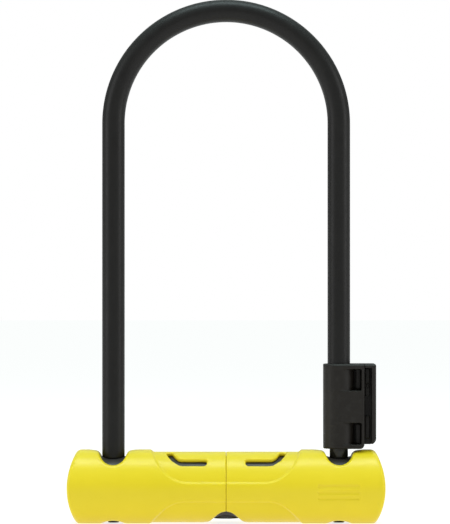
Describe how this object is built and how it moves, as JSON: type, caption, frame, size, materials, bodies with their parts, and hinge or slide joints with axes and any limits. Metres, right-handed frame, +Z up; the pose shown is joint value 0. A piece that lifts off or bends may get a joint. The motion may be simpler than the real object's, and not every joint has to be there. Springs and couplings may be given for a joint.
{
  "type": "bicycle u lock",
  "caption": "Rigid bicycle lock: a coated U-shaped shackle closed by a round crossbar with a key cylinder in its underside, and a clip on the leg that slides into a frame holder.",
  "frame": {"origin": "middle of the surface that the lock stands on, under the middle of the crossbar", "axes": "+Z up along the shackle's legs, +X along the crossbar towards the leg with the clip, -Y is the front"},
  "size_m": [0.1684, 0.04, 0.2788],
  "materials": {
    "bar_steel": "black corrosion coating over hardened steel, satin",
    "coating": "soft black vinyl sleeve, satin, faintly mottled",
    "tube_black": "black powder coat, semi-gloss",
    "cover_yellow": "moulded yellow plastic, satin gloss with fine grain",
    "block_zinc": "zinc die casting, satin",
    "pin_steel": "ground steel",
    "bolt_steel": "case-hardened steel, ground",
    "cylinder_brass": "turned brass under a worn nickel wash; the housing's rim is painted with the tube",
    "clip_black": "black glass-filled nylon, fine mould texture",
    "liner_rubber": "soft black rubber"
  },
  "bodies": {
    "crossbar": {"body_tube": "tube_black", "end_plug_left": "tube_black", "end_plug_right": "tube_black", "cover_left": "cover_yellow", "cover_right": "cover_yellow", "guide_block_left": "block_zinc", "guide_block_right": "block_zinc", "guide_pins": "pin_steel", "cylinder_carrier": "block_zinc", "bolt_keeper": "block_zinc", "cylinder_housing": "cylinder_brass", "cylinder_pin": "pin_steel"},
    "shackle": {"shackle_bar": "bar_steel", "shackle_coating": "coating", "clip_front_shell": "clip_black", "clip_rear_shell": "clip_black", "clip_liner": "liner_rubber", "clip_screws": "pin_steel", "clip_nuts": "pin_steel"},
    "plug": {"cylinder_core": "cylinder_brass", "drill_guard": "pin_steel", "code_discs": "cylinder_brass", "disc_spacers": "pin_steel", "sidebar": "pin_steel", "drive_cam": "bolt_steel", "cam_screw": "pin_steel"},
    "bolt_left": {"bolt_left": "bolt_steel"},
    "bolt_right": {"bolt_right": "bolt_steel"}
  },
  "joints": [
    {"name": "shackle_lift", "type": "slide", "parent": "crossbar", "child": "shackle", "axis": [0, 0, 1], "range_m": [0, 0.065]},
    {"name": "plug_turn", "type": "hinge", "parent": "crossbar", "child": "plug", "pos_m": [0, 0, 0.0193], "axis": [0, 0, 1], "range_deg": [0, 90]},
    {"name": "bolt_left_slide", "type": "slide", "parent": "crossbar", "child": "bolt_left", "axis": [-1, 0, 0], "range_m": [0, 0.006]},
    {"name": "bolt_right_slide", "type": "slide", "parent": "crossbar", "child": "bolt_right", "axis": [1, 0, 0], "range_m": [0, 0.006]}
  ],
  "couplings": [
    {"joint": "plug_turn", "follows": "bolt_right_slide", "rad_per_m": 261.8},
    {"joint": "bolt_left_slide", "follows": "bolt_right_slide", "ratio": 1}
  ]
}
